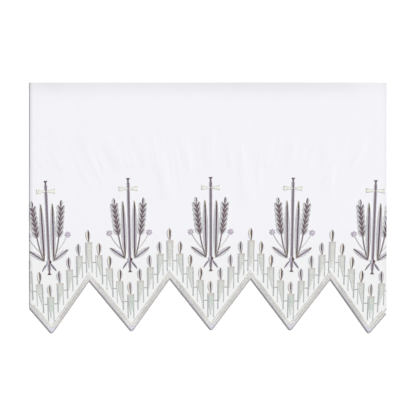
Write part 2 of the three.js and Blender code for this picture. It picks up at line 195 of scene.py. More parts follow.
# The candles by where they stand at the hem
CANDLE_COLUMNS = (
    "shift",  # how far they lie right of their even place
    "legs",  # the lengths of the left and the right leg
    "dark_side",
    "lean",  # the way the tongue leans
    "fade",  # the depth where the tongue begins to fade, and how much it does
    "links",  # the sides with a link
    "flame",  # where its middle and its core lie at full bend, and how wide its core is
)
CANDLE_ROWS = {
    "left": (-0.5, {-1: 29.9, 1: 39.5}, 1, 1, (14, 1), (-1,), (0.6, 1.0, 1.0)),
    "right": (0, {-1: 39.5, 1: 29.9}, -1, -1, (14, 0.3), (1,), (-0.85, -1.4, 0.82)),
    "point": (0.05, {-1: 33, 1: 33}, -1, 0, (14, 1), (-1, 1), (-0.95, -1.05, 0.7)),
    "notch": (-0.4, {-1: 42, 1: 42}, -1, 0, (22, 1), (), (-0.65, -0.05, 1.0)),
}
CANDLE_KINDS = {kind: dict(zip(CANDLE_COLUMNS, row)) for kind, row in CANDLE_ROWS.items()}

# A flame: how far up, its half width, its core's half width, and how far it has bent towards its own line
FLAME = (
    (0.5, 0.8, 0.6, 0.0),
    (3.0, 1.9, 0.6, 0.4),
    (6.0, 3.0, 0.9, 0.9),
    (9.0, 3.3, 1.05, 1.0),
    (12.0, 3.2, 1.05, 1.0),
    (14.2, 1.7, 0.6, 0.7),
    (16.0, 0.4, 0.2, 0.4),
)
FLAME_RIM = 0.35

# The bars between the candles
LINK_DROP = 9.9
LINK_LENGTH = 4.8

# The ornaments, each from the middle of its knot
KNOT_UP = 97
KNOT_REACH = 3.8
STEM_TOP = 110
STEM_FOOT = -17
STEM_HALF = 1.0
SERIF_HALF = 2.8
SERIF_HEIGHT = 2.2
ARM_UP = 96
ARM_HALF_SPAN = 12.5
ARM_WAIST_HALF = 1
ARM_FLARE_HALF = 3
STRAW = {"root": (1.5, -1), "length": 15, "half": 1.5, "angle": 0.62}
STALK = ((6.4, 1.5), (15, 20), (19.5, 74))
STALK_HALF = 0.7
EAR_START = 32
EAR_STEP = 0.5
KERNEL_PAIRS = 6
KERNEL_PITCH = 6.8
KERNEL_LENGTH = 10.5
KERNEL_HALF = 2.2
KERNEL_SPREAD = 4.6
REED = {"length": 78, "half": 2.8, "core": 0.8, "lean": 0.02}
OUTLINE_OUTSETS = (0.2, 0.75)
BLADE = {"length": 25, "half": 2.6, "core": 0.6, "lean": 0.95}
SPRIG = ((11.5, 14), (20, 22), (27, 36))
SPRIG_HALF = 0.65
ROSETTE_RADIUS = 4.6
ROSETTE_WAIST = 2.3
ROSETTE_PETALS = 7

# The threads
THREAD_PITCH = 0.55
THREAD_WIDTH = 0.64
THREAD_FLATNESS = 0.8
THREAD_GAIN = 1.05
WIDTH_SPREAD = 0.05
TONE_SPREAD = 0.035
END_SPREAD = 0.07
SHORTEST_STITCH = 0.25
SIDE_MARGIN = 0.3
CELL_FILL = 0.84
CLOTH_TOP = 0.95
STITCH_RISE = 0.35
LEAF_SLANT = 0.35
RUNNING_STITCH = 2.2
THINNEST_BAND = 0.3

# The edge's outer rib, from under the rim and over it: inwards, up, and its tone on falling and on rising
# flanks, which is painted shade and light: darker at the rim, and set apart for flanks facing away from and
# towards the key light
RIB_PROFILE = (
    (1.60, 0.60, 0.70, 0.74),
    (0.40, 0.60, 0.66, 0.66),
    (0.15, 0.85, 0.68, 0.64),
    (0.25, 1.15, 0.79, 0.69),
    (0.70, 1.30, 0.93, 0.71),
    (1.80, 1.38, 1.01, 0.80),
    (3.20, 1.38, 1.05, 1.21),
    (4.60, 1.32, 1.09, 1.05),
)
EDGE_WIDTH = 7.45
SEAM_INWARD = 4.6
SEAM_STITCH = 2.4
SEAM_WIDTH = 0.6
CORNER_TURN = 16
TIP_REACH = 9


def mixed(first, second, share):
    """A blend of two colours, or of two sizes."""
    first = np.asarray(first, float)
    second = np.asarray(second, float)
    return first + (second - first) * share


def smooth(share):
    """A soft step from 0 to 1."""
    t = np.clip(share, 0, 1)
    return t * t * (3 - 2 * t)


def on_border(across, up):
    """The place on the cloth of a place on the border, which lies on a slight arc."""
    turn = across / BOW_RADIUS
    reach = BOW_RADIUS + up
    x = MIDDLE_X + reach * np.sin(turn)
    y = POINTS_Y + reach * np.cos(turn) - BOW_RADIUS + BORDER_TILT * across
    return np.stack([x, y], axis=-1)


def distance_to(places, x):
    """How far each x lies from the nearest of the given places."""
    return np.abs(x[:, None] - places).min(axis=1)


CORNERS = np.arange(-2 * REPEATS_EACH_SIDE - 1, 2 * REPEATS_EACH_SIDE + 2)
PULL_RIGHT, PULL_UP = (np.array(HEM_PULL) + HEM_SHIFT).T
HEM = on_border(CORNERS * HALF_REPEAT + PULL_RIGHT, np.where(CORNERS % 2 == 0, 0, POINT_DROP) + PULL_UP)
POINTS_X = HEM[CORNERS % 2 == 0, 0]


def sharp_line(x):
    """The height of the hem's zigzag at x, with sharp corners."""
    return np.interp(x, HEM[:, 0], HEM[:, 1])


def hem_line(x):
    """The height of the hem's outer edge at x, with its points rounded off."""
    inside = np.maximum(0, POINT_ROUNDING - distance_to(POINTS_X, x))
    return sharp_line(x) + SLOPE * inside**2 / (2 * POINT_ROUNDING)


def fold_height(fold, x, y):
    """The height of a soft ridge that fades towards its head, its foot and its sides."""
    head_x, head_y, foot_x, foot_y, half_width, height = fold
    run = np.array([foot_x - head_x, foot_y - head_y])
    from_x = x - MIDDLE_X - head_x
    from_y = y - POINTS_Y - head_y
    along = (from_x * run[0] + from_y * run[1]) / (run @ run)
    across = (from_x * run[1] - from_y * run[0]) / math.sqrt(run @ run) / half_width
    ends = smooth(along / HEAD_FADE) * smooth((1 - along) / FOOT_FADE)
    return height * np.maximum(0, 1 - across**2) ** 2 * ends


def fine_wrinkles():
    """Wrinkles side by side that slant towards the middle, in the same columns as the tables of folds."""
    random = np.random.default_rng(7)
    rows = []
    for place in np.arange(LEFT - 40, RIGHT + 40, FINE_WRINKLE_PITCH):
        head_x = place + random.uniform(-FINE_WRINKLE_STRAY, FINE_WRINKLE_STRAY)
        head_y = random.uniform(*FINE_WRINKLE_HEAD)
        foot_y = random.uniform(*FINE_WRINKLE_FOOT)
        foot_x = head_x - FINE_WRINKLE_SLANT * place * (head_y - foot_y)
        height = random.uniform(*FINE_WRINKLE_HEIGHT)
        rows.append((head_x, head_y, foot_x, foot_y, FINE_WRINKLE_HALF, height))
    return rows


def freedom(x, y):
    """How free the cloth is to lift: 0 under the stitching, 1 away from it."""
    across = x - MIDDLE_X
    nearest = REPEAT * np.round(across / REPEAT)
    beside = (np.abs(across - nearest) - ORNAMENT_HALF_WIDTH) / FLAT_MARGIN
    above = (y - POINTS_Y - ORNAMENT_TOP) / FLAT_MARGIN
    return np.maximum(smooth(beside), smooth(above))


def lift(x, y, settings):
    """How far the cloth's underside lies above the surface."""
    folds = sum(fold_height(fold, x, y) for fold in FOLDS) * settings.fold_share
    wrinkles = sum(fold_height(wrinkle, x, y) for wrinkle in WRINKLES) * settings.wrinkle_share
    wrinkles = wrinkles + sum(fold_height(wrinkle, x, y) for wrinkle in fine_wrinkles())
    curl = np.clip((y - TOP_Y + TOP_CURL_DEPTH) / TOP_CURL_DEPTH, 0, 1) ** 2
    sway = 1 + TOP_CURL_SWAY * np.sin(x / TOP_CURL_WAVE)
    sway = sway * smooth((x - LEFT) / TOP_CURL_TAPER) * smooth((RIGHT - x) / TOP_CURL_TAPER)
    return (folds + wrinkles) * freedom(x, y) + curl * sway * settings.top_curl / MM


def deselect_all():
    """Clears the selection, so that the next operators act only on what they are given."""
    for chosen in list(bpy.context.selected_objects):
        chosen.select_set(False)


def right_of(direction):
    """The direction a quarter turn to the right of each given one."""
    return np.column_stack([direction[:, 1], -direction[:, 0]])


def raised(flat, height):
    """Places or directions on the cloth, with their heights."""
    return np.concatenate([flat, np.broadcast_to(height, flat.shape[:2])[:, :, None]], axis=2)


def model_stitch(stations):
    """One stitch along X from 0 to 1: a rod of four sides with pointed ends and a ring at each station."""
    first = stations[1]
    last = stations[-2]
    deselect_all()
    bpy.ops.mesh.primitive_cylinder_add(
        vertices=4,
        radius=1,
        depth=last - first,
        end_fill_type="TRIFAN",
        location=(0.5, 0, 0),
        rotation=(0, math.pi / 2, 0),
    )
    rod = bpy.context.object
    bpy.ops.object.transform_apply(location=True, rotation=True, scale=True)
    bpy.ops.object.mode_set(mode="EDIT")
    for station in stations[2:-2]:
        bpy.ops.mesh.select_all(action="SELECT")
        bpy.ops.mesh.bisect(plane_co=(station, 0, 0), plane_no=(1, 0, 0))
    bpy.ops.mesh.select_all(action="DESELECT")
    bpy.ops.object.mode_set(mode="OBJECT")
    for vertex in rod.data.vertices:
        vertex.select = math.hypot(vertex.co.y, vertex.co.z) < 0.5
    bpy.ops.object.mode_set(mode="EDIT")
    bpy.ops.transform.resize(value=(1 / (last - first), 1, 1))
    bpy.ops.mesh.select_all(action="SELECT")
    bpy.ops.mesh.quads_convert_to_tris()
    bpy.ops.mesh.normals_make_consistent(inside=False)
    bpy.ops.object.mode_set(mode="OBJECT")
    places = np.array([vertex.co[:] for vertex in rod.data.vertices])
    triangles = np.array([face.vertices[:] for face in rod.data.polygons])
    bpy.data.meshes.remove(rod.data)
    ring = np.abs(places[:, :1] - np.array(stations)).argmin(axis=1)
    ends = np.where(ring == 0, -1, np.where(ring == len(stations) - 1, 1, 0))
    form = {"stations": np.array(stations), "ring": ring, "ends": ends}
    return {**form, "places": places, "triangles": triangles}


PLAIN_STATIONS = (0, 0.1, 0.9, 1)
PLAIN_RISE = np.array([0, 1, 1, 0])
RIB_STATIONS = tuple(k / (len(RIB_PROFILE) - 1) for k in range(len(RIB_PROFILE)))


class Threads:
    """The stitches of one piece, gathered row by row and joined into one mesh."""

    def __init__(self, seed):
        self.random = np.random.default_rng(seed)
        self.plain = model_stitch(PLAIN_STATIONS)
        self.rows = []

    def uneven(self, count, spread):
        """Shares round 1, one for each stitch, as no two stitches are quite alike."""
        return 1 + spread * self.random.standard_normal(count)

    def lay(self, form, centres, outwards, across, colour, width=THREAD_WIDTH, shades=1):
        """Adds stitches whose middle lines run through the given places, one for each of their stations."""
        count = len(centres)
        if count == 0:
            return
        ring = form["ring"]
        share, side, height = form["places"].T[:, :, None]
        half = (width / 2 * self.uneven(count, WIDTH_SPREAD))[:, None, None]
        points = centres[:, ring] + across[:, None] * (side * half)
        points = points + outwards[:, ring] * (height * half * THREAD_FLATNESS)
        run = centres[:, -1] - centres[:, 0]
        length = np.linalg.norm(run, axis=1)[:, None]
        tones = np.asarray(colour, float) * self.uneven(count, TONE_SPREAD)[:, None]
        # Shades by station multiply the tone: painted shade and light, where a caller gives them
        tones = tones[:, None] * np.broadcast_to(shades, len(form["stations"]))[ring][:, None]
        ends = form["ends"][:, None]
        facing = across[:, None] * side + outwards[:, ring] * (height + np.abs(ends))
        facing = facing + (run / length)[:, None] * ends
        self.rows.append((form, points, share[:, 0] * length, tones, facing))

    def satin(self, starts, ends, colour, rise, width=THREAD_WIDTH):
        """Adds straight stitches that rise off the cloth between their ends, cut off at its sides."""
        colour = np.broadcast_to(np.asarray(colour, float), (len(starts), 3))
        starts, ends, colour = cut_at_sides(starts, ends, colour)
        run = ends - starts
        direction = run / np.linalg.norm(run, axis=1, keepdims=True)
        count = len(starts)
        starts = starts - direction * (END_SPREAD * self.random.standard_normal(count))[:, None]
        ends = ends + direction * (END_SPREAD * self.random.standard_normal(count))[:, None]
        flat = starts[:, None] + (ends - starts)[:, None] * self.plain["stations"][:, None]
        crown = CLOTH_TOP + rise * self.uneven(count, WIDTH_SPREAD)[:, None] * PLAIN_RISE
        upright = np.broadcast_to([0.0, 0.0, 1.0], (count, len(PLAIN_RISE), 3))
        across = np.column_stack([-right_of(direction), np.zeros(count)])
        self.lay(self.plain, raised(flat, crown), upright, across, colour, width)

    def motif(self, motif, across, up):
        """Adds a motif's stitches at a place on the border, turned with the border."""
        turn = BORDER_TILT - across / BOW_RADIUS
        spin = np.array([[math.cos(turn), math.sin(turn)], [-math.sin(turn), math.cos(turn)]])
        place = on_border(across, up)
        for starts, ends, colour, rise in motif.rows:
            self.satin(starts @ spin + place, ends @ spin + place, colour, rise)

    def join(self, name, material):
        """Joins the stitches into one object, each with its colour, its place and its cell of the map."""
        cells = math.ceil(math.sqrt(sum(len(row[1]) for row in self.rows)))
        gathered = [[] for _ in range(6)]
        made = 0
        laid = 0
        for form, points, along, tones, facing in self.rows:
            count, corners = points.shape[:2]
            share, side = form["places"].T[:2]
            cell = np.arange(laid, laid + count)[:, None]
            place = np.stack(np.broadcast_arrays(along, side, cell), axis=2)
            u = cell % cells + (1 - CELL_FILL) / 2 + CELL_FILL * share
            v = cell // cells + 0.5 + CELL_FILL / 2 * side
            layout = np.stack([u, v], axis=2) / cells
            triangles = form["triangles"] + made + corners * np.arange(count)[:, None, None]
            for kept, values in zip(gathered, (points, tones, place, facing, layout, triangles)):
                kept.append(values.reshape(-1, values.shape[2]))
            made += count * corners
            laid += count
        points, tones, places, facing, layout, triangles = (np.concatenate(kept) for kept in gathered)
        mesh = bpy.data.meshes.new(name)
        mesh.from_pydata(points * MM, [], triangles)
        mesh.polygons.foreach_set("use_smooth", np.ones(len(mesh.polygons), dtype=bool))
        mesh.color_attributes.new("thread_colour", "FLOAT_COLOR", "POINT")
        tones = np.column_stack([tones, np.ones(made)])
        mesh.color_attributes["thread_colour"].data.foreach_set("color", tones.ravel())
        mesh.attributes.new("thread_place", "FLOAT_VECTOR", "POINT")
        mesh.attributes["thread_place"].data.foreach_set("vector", places.ravel())
        corner = np.empty(len(mesh.loops), dtype=np.int32)
        mesh.loops.foreach_get("vertex_index", corner)
        mesh.uv_layers.new(name="OFBake")
        mesh.uv_layers["OFBake"].data.foreach_set("uv", layout[corner].ravel())
        mesh.materials.append(material)
        mesh.validate()
        mesh.normals_split_custom_set_from_vertices(facing / np.linalg.norm(facing, axis=1, keepdims=True))
        piece = bpy.data.objects.new(name, mesh)
        bpy.context.scene.collection.objects.link(piece)
        return piece


def cut_at_sides(starts, ends, colour):
    """Cuts stitches off at the cloth's sides, and leaves out what is too short to hold."""
    run = ends[:, 0] - starts[:, 0]
    run = np.where(np.abs(run) < 1e-9, 1e-9, run)
    to_left = (LEFT + SIDE_MARGIN - starts[:, 0]) / run
    to_right = (RIGHT - SIDE_MARGIN - starts[:, 0]) / run
    enters = np.clip(np.minimum(to_left, to_right), 0, 1)[:, None]
    leaves = np.clip(np.maximum(to_left, to_right), 0, 1)[:, None]
    cut_starts = starts + (ends - starts) * enters
    cut_ends = starts + (ends - starts) * leaves
    kept = np.linalg.norm(cut_ends - cut_starts, axis=1) > SHORTEST_STITCH
    return cut_starts[kept], cut_ends[kept], colour[kept]


class Motif:
    """An embroidered figure from its own origin, as rows of stitches."""

    def __init__(self):
        self.rows = []

    def stitches(self, starts, ends, colour, rise=STITCH_RISE):
        """Adds stitches from their starts to their ends."""
        self.rows.append((np.array(starts, float), np.array(ends, float), colour, rise))

    def along(self, path, low, high, colour, rise=STITCH_RISE, slant=0):
        """Fills the band between two offsets of a path, above 0 to its right, with stitches across it."""
        at, tangent, share = spaced(path, THREAD_PITCH)
        offsets = [offset(share) if callable(offset) else offset for offset in (low, high)]
        near, far = (np.broadcast_to(offset, share.shape)[:, None] for offset in offsets)
        ahead = tangent * abs(slant) * (far - near)
        starts = at + right_of(tangent) * near + ahead * (slant < 0)
        ends = at + right_of(tangent) * far + ahead * (slant > 0)
        kept = (far - near)[:, 0] > THINNEST_BAND
        self.stitches(starts[kept], ends[kept], colour, rise)

    def flank(self, path, side, near, far, colour):
        """Fills the band between two offsets on one side of a path with slanting stitches."""
        low, high = (near, far) if side > 0 else (lambda s: -far(s), lambda s: -near(s))
        self.along(path, low, high, colour, slant=LEAF_SLANT * side)

    def running(self, path, colour, rise):
        """Adds a line of long stitches that follow a path, each a little past the next one's start."""
        at, tangent, _ = spaced(path, RUNNING_STITCH)
        self.stitches(at[:-1], at[1:] + tangent[1:] * 0.2, colour, rise)


def spaced(path, pitch):
    """Places along a path at a pitch, the direction there, and the share of the path so far."""
    path = np.asarray(path, float)
    steps = np.linalg.norm(np.diff(path, axis=0), axis=1)
    reach = np.concatenate([[0], np.cumsum(steps)])
    count = max(2, round(reach[-1] / pitch))
    distance = np.linspace(0, reach[-1], count)
    at = np.column_stack([np.interp(distance, reach, path[:, k]) for k in (0, 1)])
    slopes = np.gradient(at, distance, axis=0)
    return at, slopes / np.linalg.norm(slopes, axis=1, keepdims=True), distance / reach[-1]


def bow(points, side=1, steps=24):
    """A quadratic curve through a start, towards a bend, to an end, mirrored when side is -1."""
    start, bend, end = [np.array([side * x, y], float) for x, y in points]
    t = np.linspace(0, 1, steps)[:, None]
    return start * (1 - t) ** 2 + bend * 2 * t * (1 - t) + end * t**2


def reach_of(root, length, lean):
    """A straight path from a root, leaning to the right."""
    direction = np.array([math.sin(lean), math.cos(lean)])
    return np.array([root, np.array(root) + direction * length])


def leaf_half(half):
    """The half width along a leaf that is pointed at both ends."""
    return lambda share: half * 4 * share * (1 - share)


def kind_of(steps):
    """Where a candle stands, by its steps from the nearest point of the hem."""
    if steps == 0:
        return "point"
    if abs(steps) == CANDLES_IN_REPEAT / 2:
        return "notch"
    return "left" if steps < 0 else "right"


def add_flame(motif, colours, kind):
    """A flame with a dark core between a pale side and a faint one."""
    up = np.arange(FLAME[0][0], FLAME[-1][0], THREAD_PITCH * 0.9)
    heights, *columns = np.array(FLAME).T
    half, core_half, bend = (np.interp(up, heights, column) for column in columns)
    middle, core, core_share = CANDLE_KINDS[kind]["flame"]
    left = bend * middle - half
    right = bend * middle + half
    core_left = bend * core - core_half * core_share
    core_right = bend * core + core_half * core_share
    pale = colours.flame_rim if kind == "right" else colours.flame_pale
    haze = colours.flame_haze if kind in ("left", "notch") else colours.flame_shade
    rim = np.minimum(left + FLAME_RIM * half, core_left)
    bands = (
        (left, rim, colours.flame_rim),
        (rim, core_left, pale),
        (core_left, core_right, colours.flame_dark),
        (core_right, right, haze),
    )
    for near, far, colour in bands:
        kept = far - near > 0.2
        starts = np.column_stack([near, up])[kept]
        ends = np.column_stack([far, up + 0.3])[kept]
        motif.stitches(starts, ends, colour, rise=FLAME_STITCH_RISE)


def candle_fill(kind, depth):
    """The sides of a candle's fill at a depth below its top: full width, then a narrowing ragged tongue."""
    lean = CANDLE_KINDS[kind]["lean"]
    start = CANDLE_BLOCK if lean else EVEN_BLOCK
    narrow = np.clip((depth - start) / (CANDLE_TONGUE - start), 0, 1)
    ragged = np.where(np.arange(len(depth)) % 2 == 0, TONGUE_RAG, -TONGUE_RAG) * (narrow > 0)
    half = mixed(LEG_INSIDE, 0.5, narrow * (0.5 if kind == "notch" else 1)) + ragged
    middle = lean * (LEG_INSIDE - half)
    return middle - half, middle + half


def capped(tones, depth, colours):
    """Tones that turn into the cap's towards a candle's top."""
    return mixed(tones, colours.candle_cap, smooth((CANDLE_CAP - depth) / CAP_BLEND)[:, None])


def add_leg(motif, kind, side, body, colours):
    """A leg of a candle: dark, or in the candle's colour and then pale, and a little wider at first."""
    depth = np.arange(0.3, CANDLE_KINDS[kind]["legs"][side], THREAD_PITCH)
    is_dark = side == CANDLE_KINDS[kind]["dark_side"]
    low = smooth((depth - CANDLE_BLOCK + LEG_TURN) / LEG_TURN)[:, None]
    first, last = (colours.dark_leg, colours.dark_leg) if is_dark else (body, colours.pale_leg)
    # Painted light: left legs are made paler against the fill's shade
    tones = capped(mixed(first, last, low), depth, colours) * (LEFT_LEG_PAINTED_LIGHT if side < 0 else 1)
    wide = CANDLE_HALF + (0 if is_dark else PALE_LEG_BULGE) * (1 - low[:, 0])
    inside = np.column_stack([np.full(len(depth), side * LEG_INSIDE), -depth])
    motif.stitches(inside, np.column_stack([side * wide, -depth]), tones, rise=0.3)


def candle_motif(kind, colours):
    """A candle: a closed upper part, a tongue that fades downwards, two legs, links, wick and flame."""
    motif = Motif()
    body = {"point": colours.point_candle, "notch": colours.notch_candle}.get(kind, colours.candle)
    depth = np.arange(0.3, NOTCH_TONGUE if kind == "notch" else CANDLE_TONGUE, THREAD_PITCH)
    left, right = candle_fill(kind, depth)
    fade_start, fade_share = CANDLE_KINDS[kind]["fade"]
    fade = smooth((depth - fade_start) / FADE_LENGTH)[:, None] * fade_share
    tones = capped(mixed(body, colours.faded, fade), depth, colours)
    motif.stitches(np.column_stack([left, -depth]), np.column_stack([right, -depth]), tones)
    for side in (-1, 1):
        add_leg(motif, kind, side, body, colours)
        if side in CANDLE_KINDS[kind]["links"]:
            for drop in (LINK_DROP - 0.3, LINK_DROP + 0.3):
                start = (side * CANDLE_HALF, -drop)
                end = (side * (CANDLE_HALF + LINK_LENGTH), -drop)
                motif.stitches([start], [end], colours.link, rise=0.25)
    for beside in (-0.35, 0.35):
        motif.stitches([(beside, -0.2)], [(beside, WICK_HEIGHT)], colours.wick, rise=0.4)
    add_flame(motif, colours, kind)
    return motif


def add_arms(motif, colours):
    """The two flared arms of a cross, pale, with a thin outline."""
    across = np.arange(-ARM_HALF_SPAN, ARM_HALF_SPAN, THREAD_PITCH)
    flare = mixed(ARM_WAIST_HALF, ARM_FLARE_HALF, np.abs(across) / ARM_HALF_SPAN)
    below = np.column_stack([across, ARM_UP - flare])
    above = np.column_stack([across, ARM_UP + flare])
    motif.stitches(below, above, colours.sage, rise=0.3)
    for side in (-1, 1):
        tips = [(side * ARM_HALF_SPAN, ARM_UP + end * ARM_FLARE_HALF) for end in (-1, 1)]
        motif.running(tips, colours.outline, rise=0.4)
        for end, tip in zip((-1, 1), tips):
            motif.running([(side * 2.2, ARM_UP + end * ARM_WAIST_HALF), tip], colours.outline, rise=0.4)


def cross_motif(colours):
    """A tall cross with flared arms on a knot, with two straws below it."""
    motif = Motif()
    add_arms(motif, colours)
    for side in (-1, 1):
        flank = [(side * 1.6, STEM_FOOT + 6), (side * 1.6, STEM_TOP - 6)]
        motif.along(flank, -0.45, 0.45, colours.lilac, rise=0.25)
        root = (side * STRAW["root"][0], STRAW["root"][1])
        straw = reach_of(root, STRAW["length"], math.pi - side * STRAW["angle"])
        motif.along(straw, leaf_half(-STRAW["half"]), 0, colours.lilac)
        motif.along(straw, 0, leaf_half(STRAW["half"]), colours.stem)
    stem = [(0, STEM_FOOT), (0, STEM_TOP)]
    motif.along(stem, -STEM_HALF, STEM_HALF, colours.stem, rise=0.5)
    for foot, top, low, high in (
        (STEM_FOOT, STEM_FOOT + SERIF_HEIGHT, SERIF_HALF, STEM_HALF),
        (STEM_TOP - SERIF_HEIGHT, STEM_TOP, STEM_HALF, SERIF_HALF),
    ):
        left = lambda share: -mixed(low, high, share)
        right = lambda share: mixed(low, high, share)
        motif.along([(0, foot), (0, top)], left, right, colours.cap, rise=0.6)
    diamond = lambda share: KNOT_REACH * (1 - np.abs(2 * share - 1)) + 0.3
    knot = [(0, -KNOT_REACH), (0, KNOT_REACH)]
    motif.along(knot, lambda share: -diamond(share), 0, colours.lilac, rise=0.6)
    motif.along(knot, 0, diamond, colours.brown, rise=0.6)
    return motif


def add_ear(motif, stalk, side, colours):
    """The ear at the end of a stalk: pairs of kernels that stand out from it, and one at its tip."""
    at, tangent, _ = spaced(stalk, EAR_STEP)
    for pair in range(KERNEL_PAIRS + 1):
        base = EAR_START + KERNEL_PITCH * pair
        here = min(int(base / EAR_STEP), len(at) - 1)
        forward = tangent[here]
        outward = right_of(tangent)[here]
        root = at[here] + forward * max(base - here * EAR_STEP, 0)
        for spread in (0,) if pair == KERNEL_PAIRS else (-1, 1):
            start = root + outward * 0.5 * spread
            end = root + forward * KERNEL_LENGTH + outward * KERNEL_SPREAD * spread
            add_kernel(motif, [start, end], spread or side, colours)


def add_kernel(motif, path, facing, colours):
    """A kernel with a dark inner side, a lilac outer side and a pale rim."""
    for side, near, far, colour in (
        (-facing, 0.1, 0.75, colours.brown),
        (facing, -0.1, 0.6, colours.lilac),
        (facing, 0.6, 1.25, colours.sage),
    ):
        motif.flank(path, side, leaf_half(near * KERNEL_HALF), leaf_half(far * KERNEL_HALF), colour)


def add_leaf(motif, root, sizes, side, colours):
    """A leaf with a dark core, lilac flanks and a pale outline."""
    path = reach_of(root, sizes["length"], side * sizes["lean"])
    half = leaf_half(sizes["half"])
    lilac = leaf_half(0.8 * sizes["half"])
    core = lambda share: np.minimum(sizes["core"], lilac(share))
    for flank in (1, -1):
        motif.flank(path, flank, core, lilac, colours.lilac)
    motif.along(path, lambda share: -core(share), core, colours.brown, rise=0.5)
    at, tangent, share = spaced(path, 2)
    for flank in (-1, 1):
        for outset in OUTLINE_OUTSETS:
            line = at + right_of(tangent) * flank * (half(share) + outset)[:, None]
            motif.running(line, colours.outline, rise=0.2)


def add_rosette(motif, middle, colours):
    """A small flower of radial stitches with a pale eye."""
    angles = np.linspace(0, 2 * math.pi, ROSETTE_PETALS * 6, endpoint=False)
    swell = np.abs(np.cos(angles * ROSETTE_PETALS / 2))
    reach = ROSETTE_WAIST + (ROSETTE_RADIUS - ROSETTE_WAIST) * swell
    ray = np.column_stack([np.sin(angles), np.cos(angles)])
    motif.stitches(middle + ray * 0.8, middle + ray * reach[:, None], colours.rosette)
    eye = ray[::7]
    motif.stitches(middle - eye * 0.9, middle + eye * 0.9, colours.sage, rise=0.5)


def wheat_motif(side, colours):
    """The wheat beside a cross: a stalk with its ear, a reed, a low blade and a rosette on a sprig."""
    motif = Motif()
    stalk = bow(STALK, side)
    root = stalk[0]
    add_leaf(motif, root, BLADE, side, colours)
    add_leaf(motif, root, REED, side, colours)
    motif.along(stalk, -STALK_HALF, STALK_HALF, colours.stem, rise=0.45)
    add_ear(motif, stalk, side, colours)
    sprig = bow(SPRIG, side)
    motif.along(sprig, -SPRIG_HALF, SPRIG_HALF, colours.outline, rise=0.3)
    add_rosette(motif, sprig[-1], colours)
    return motif


def rises(x):
    """1 where the hem rises to the right at x, and -1 where it falls."""
    flank = np.clip(np.searchsorted(HEM[:, 0], x), 1, len(HEM) - 1)
    return np.sign(HEM[flank, 1] - HEM[flank - 1, 1])


def edge_places(x, inward):
    """Places on the edge, from the hem line at x inwards, square to flanks and upright at corners."""
    turned = smooth(distance_to(HEM[:, 0], x) / CORNER_TURN)
    inner_x = x - rises(x) * SLOPE / STEEPNESS * EDGE_WIDTH * turned
    outer = np.column_stack([x, hem_line(x)])
    inner = np.column_stack([inner_x, sharp_line(inner_x) + EDGE_WIDTH * STEEPNESS])
    return outer[:, None] + (inner - outer)[:, None] * (np.array(inward) / EDGE_WIDTH)[:, None]


def add_outer_rib(threads, colours):
    """The outer rib, whose stitches wrap the cloth's rim and lie square to the flanks."""
    inward, up, falling_painted_shade, rising_painted_shade = np.array(RIB_PROFILE).T
    x = np.arange(LEFT + SIDE_MARGIN, RIGHT - SIDE_MARGIN, THREAD_PITCH / STEEPNESS)
    flat = edge_places(x, inward)
    inside = (flat[:, :, 0].min(axis=1) > LEFT) & (flat[:, :, 0].max(axis=1) < RIGHT)
    x = x[inside]
    flat = flat[inside]
    direction = flat[:, -1] - flat[:, 1]
    direction /= np.linalg.norm(direction, axis=1, keepdims=True)
    across = np.column_stack([-right_of(direction), np.zeros(len(x))])
    slope_in, slope_up = np.gradient(inward), np.gradient(up)
    steep = np.hypot(slope_in, slope_up)
    outwards = raised(direction[:, None] * (-slope_up / steep)[:, None], slope_in / steep)
    centres = raised(flat, up)
    rising = rises(x) > 0
    # Painted light and shade: the one edge thread is toned apart on rising and falling flanks
    tones = np.where(rising[:, None], colours.edge_rising, colours.edge_falling)
    tones = mixed(colours.edge_tip, tones, smooth(distance_to(POINTS_X, x) / TIP_REACH)[:, None])
    form = model_stitch(RIB_STATIONS)
    # The tones by station are painted shade and light, one set for each kind of flank
    for chosen, shades in ((rising, rising_painted_shade), (~rising, falling_painted_shade)):
        threads.lay(form, centres[chosen], outwards[chosen], across[chosen], tones[chosen], shades=shades)


def add_inner_rib(threads, colours):
    """The lighter inner rib, and the seam of long stitches between the two."""
    x = np.arange(LEFT + SIDE_MARGIN, RIGHT - SIDE_MARGIN, THREAD_PITCH / STEEPNESS)
    band = edge_places(x, (SEAM_INWARD, EDGE_WIDTH))
    threads.satin(band[:, 0], band[:, 1], colours.edge_inner, rise=0.4)
    x = np.arange(LEFT - 8, RIGHT + 8, SEAM_STITCH / STEEPNESS)
    seam = edge_places(x, [SEAM_INWARD])[:, 0]
    threads.satin(seam[:-1], seam[1:], colours.edge_seam, rise=0.5, width=SEAM_WIDTH)


